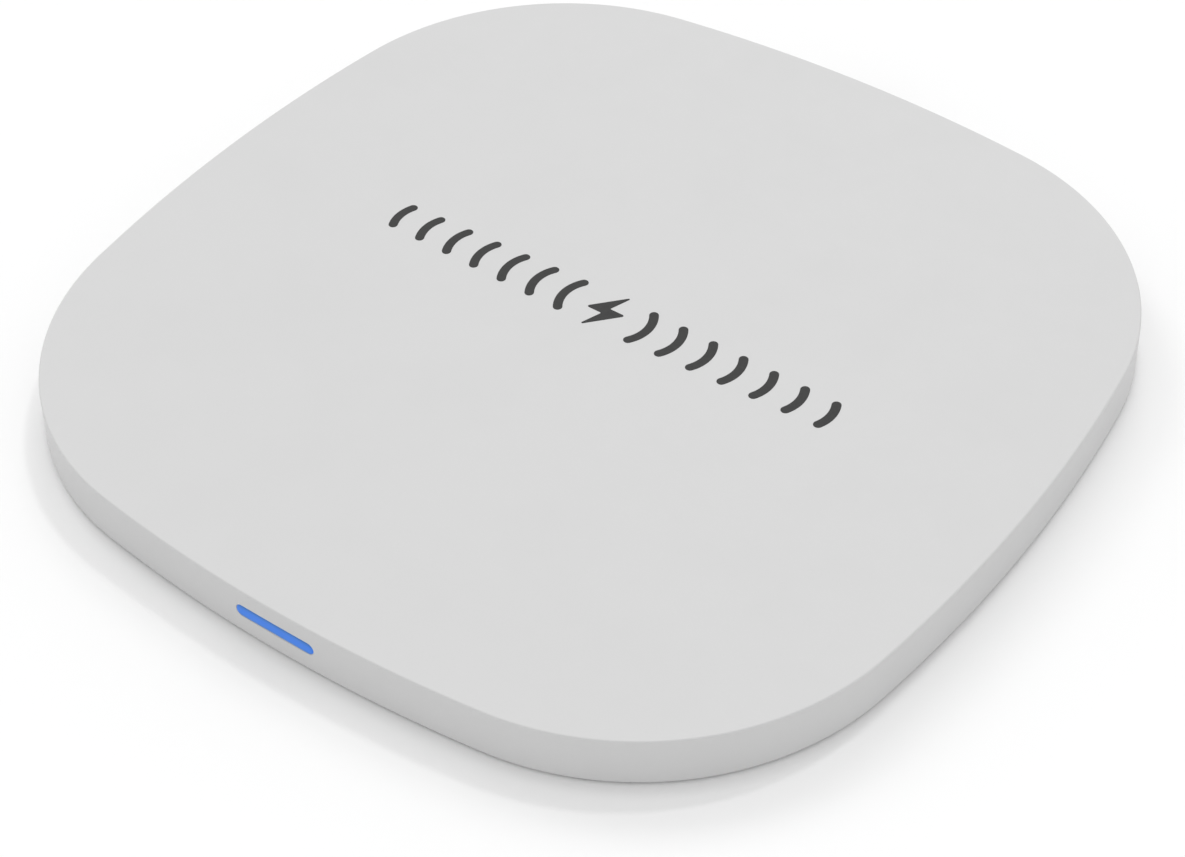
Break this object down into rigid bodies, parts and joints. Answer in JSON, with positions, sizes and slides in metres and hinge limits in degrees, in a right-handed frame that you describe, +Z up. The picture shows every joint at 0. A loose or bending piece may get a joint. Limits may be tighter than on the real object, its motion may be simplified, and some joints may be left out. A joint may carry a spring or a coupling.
{
  "type": "wireless charging pad",
  "caption": "Slim bowed-square wireless charging pad with a flat top, a lit status bar in the front wall and a USB-C inlet at the back.",
  "frame": {"origin": "on the surface that the pad stands on, under the centre of the pad", "axes": "+Z up through the flat top; -Y towards the wall with the lit status bar; +Y towards the USB-C inlet; +X to the right, seen from the status bar"},
  "size_m": [0.1004, 0.1004, 0.0057],
  "materials": {
    "shell_plastic": "fine matte moulded texture, off-white",
    "cover_plastic": "matte moulded, off-white",
    "printed_ink": "thin matte dark grey print",
    "light_bar": "clear acrylic lit blue from behind",
    "foot_rubber": "matte grey silicone rubber",
    "screw_steel": "nickel-plated steel",
    "adhesive_tape": "double-sided film tape",
    "litz_copper": "enamelled copper strands",
    "ferrite": "sintered ferrite, dark grey",
    "foam": "closed-cell foam",
    "thermistor_glass": "glass-coated bead",
    "wire_sleeve": "thin wire insulation",
    "board_laminate": "green solder mask on glass laminate",
    "inlet_steel": "nickel-plated stamped shell",
    "inlet_plastic": "black insulator",
    "contact_gold": "gold-plated contacts",
    "chip_plastic": "black moulding compound",
    "crystal_can": "plated lid",
    "resistor_film": "glazed resistor body",
    "capacitor_ceramic": "fired ceramic with tinned ends",
    "led_resin": "phosphor-free clear resin in a white frame"
  },
  "bodies": {
    "root": {"top_shell": "shell_plastic", "bottom_cover": "cover_plastic", "light_guide": "light_bar", "foot_front_left": "foot_rubber", "foot_front_right": "foot_rubber", "foot_back_left": "foot_rubber", "foot_back_right": "foot_rubber", "case_screw_front_left": "screw_steel", "case_screw_front_right": "screw_steel", "case_screw_back_left": "screw_steel", "case_screw_back_right": "screw_steel", "coil_tape": "adhesive_tape", "coil_winding": "litz_copper", "ferrite_tape": "adhesive_tape", "ferrite_sheet": "ferrite", "foam_pad": "foam", "coil_lead_inner": "litz_copper", "coil_lead_outer": "litz_copper", "thermistor": "thermistor_glass", "thermistor_wire_1": "wire_sleeve", "thermistor_wire_2": "wire_sleeve", "circuit_board": "board_laminate", "board_screw_1": "screw_steel", "board_screw_2": "screw_steel", "board_screw_3": "screw_steel", "board_screw_4": "screw_steel", "usb_shell": "inlet_steel", "usb_tongue": "inlet_plastic", "power_input_ic": "chip_plastic", "controller_ic": "chip_plastic", "crystal": "crystal_can", "filter_inductor": "ferrite", "sense_resistor": "resistor_film", "input_capacitor_1": "capacitor_ceramic", "input_capacitor_2": "capacitor_ceramic", "input_capacitor_3": "capacitor_ceramic", "bridge_transistor_1": "chip_plastic", "bridge_transistor_2": "chip_plastic", "bridge_transistor_3": "chip_plastic", "bridge_transistor_4": "chip_plastic", "resonant_capacitor_1": "capacitor_ceramic", "resonant_capacitor_2": "capacitor_ceramic", "resonant_capacitor_3": "capacitor_ceramic", "resonant_capacitor_4": "capacitor_ceramic", "status_led_left": "led_resin", "status_led_right": "led_resin", "led_resistor_left": "resistor_film", "led_resistor_right": "resistor_film"}
  },
  "joints": []
}
